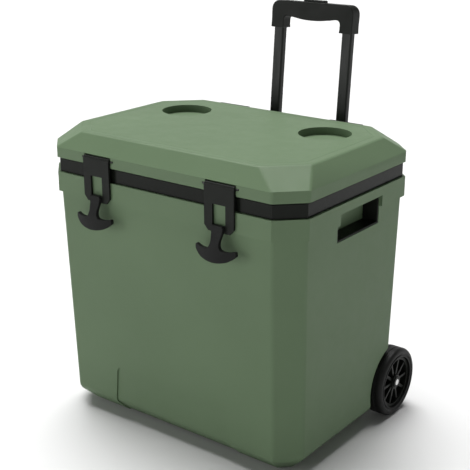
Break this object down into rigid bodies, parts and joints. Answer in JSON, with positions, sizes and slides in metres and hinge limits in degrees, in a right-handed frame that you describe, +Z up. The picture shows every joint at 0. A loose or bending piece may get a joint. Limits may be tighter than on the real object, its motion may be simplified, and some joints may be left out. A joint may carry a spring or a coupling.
{
  "type": "wheeled cooler",
  "caption": "Hard insulated cooler with a hinged latched lid, side grips, a telescopic trolley handle and rear wheels.",
  "frame": {"origin": "on the ground, under the middle of the whole object's bounding box", "axes": "+X to the cooler's right side as seen from its front, -Y to the front with the latches, +Z up"},
  "size_m": [0.4846, 0.4379, 0.6488],
  "materials": {
    "shell_olive": "lightly textured olive green, satin",
    "foam": "rigid insulation foam",
    "liner_white": "smooth white lining",
    "band_black": "smooth black",
    "plastic_black": "black, fine texture",
    "pull_black": "black, soft",
    "tyre": "black rubber",
    "gasket": "black, soft",
    "tube_black": "black, semi-gloss",
    "steel": "bright",
    "dark_steel": "blackened"
  },
  "bodies": {
    "body": {"axle": "steel", "axle_cap_left": "plastic_black", "axle_cap_right": "plastic_black", "axle_clamp_left": "plastic_black", "axle_clamp_right": "plastic_black", "body_foam": "foam", "body_shell": "shell_olive", "clamp_screw_left": "steel", "clamp_screw_right": "steel", "guide_cap_left": "plastic_black", "guide_cap_right": "plastic_black", "guide_tube_left": "tube_black", "guide_tube_right": "tube_black", "handle_lower_bracket": "plastic_black", "handle_upper_bracket": "plastic_black", "hinge_bracket_left": "plastic_black", "hinge_bracket_right": "plastic_black", "hinge_pin_left": "steel", "hinge_pin_right": "steel", "hinge_screw_left": "steel", "hinge_screw_right": "steel", "inner_liner": "liner_white", "lower_screw_left": "steel", "lower_screw_right": "steel", "rim_frame": "band_black", "side_grip_left": "plastic_black", "side_grip_right": "plastic_black", "upper_screw_left": "steel", "upper_screw_right": "steel", "wheel_washer_left": "steel", "wheel_washer_right": "steel"},
    "lid": {"hinge_leaf_left": "plastic_black", "hinge_leaf_right": "plastic_black", "latch_pin_left": "dark_steel", "latch_pin_right": "dark_steel", "leaf_screw_left": "steel", "leaf_screw_right": "steel", "lid_foam": "foam", "lid_gasket": "gasket", "lid_liner": "liner_white", "lid_shell": "shell_olive"},
    "latch_left": {"latch_plate_left": "plastic_black", "latch_pull_left": "pull_black"},
    "latch_right": {"latch_plate_right": "plastic_black", "latch_pull_right": "pull_black"},
    "wheel_left": {"rim_left": "plastic_black", "tyre_left": "tyre"},
    "wheel_right": {"rim_right": "plastic_black", "tyre_right": "tyre"},
    "handle": {"grip": "plastic_black", "grip_screw_left": "dark_steel", "grip_screw_right": "dark_steel", "handle_tube_left": "tube_black", "handle_tube_right": "tube_black"},
    "button": {"release_button": "plastic_black", "release_rod_left": "steel", "release_rod_right": "steel"},
    "drain_plug": {"drain_plug": "plastic_black"}
  },
  "joints": [
    {"name": "lid_hinge", "type": "hinge", "parent": "body", "child": "lid", "pos_m": [0, 0.13169, 0.463], "axis": [-1, 0, 0], "range_deg": [0, 95]},
    {"name": "latch_left_pivot", "type": "hinge", "parent": "lid", "child": "latch_left", "pos_m": [-0.117, -0.19931, 0.443], "axis": [-1, 0, 0], "range_deg": [0, 110]},
    {"name": "latch_right_pivot", "type": "hinge", "parent": "lid", "child": "latch_right", "pos_m": [0.117, -0.19931, 0.443], "axis": [-1, 0, 0], "range_deg": [0, 110]},
    {"name": "wheel_left_spin", "type": "hinge", "parent": "body", "child": "wheel_left", "pos_m": [-0.2083, 0.10829, 0.057], "axis": [1, 0, 0], "continuous": true},
    {"name": "wheel_right_spin", "type": "hinge", "parent": "body", "child": "wheel_right", "pos_m": [0.2083, 0.10829, 0.057], "axis": [1, 0, 0], "continuous": true},
    {"name": "handle_slide", "type": "slide", "parent": "body", "child": "handle", "axis": [0, 0.0797, 0.9968], "range_m": [-0.205, 0.05]},
    {"name": "button_press", "type": "slide", "parent": "handle", "child": "button", "axis": [0, -0.0797, -0.9968], "range_m": [0, 0.005], "stiffness_N_per_m": 1000, "springref_m": -0.004},
    {"name": "drain_plug_pull", "type": "slide", "parent": "body", "child": "drain_plug", "axis": [-1, 0, 0], "range_m": [0, 0.07]}
  ]
}
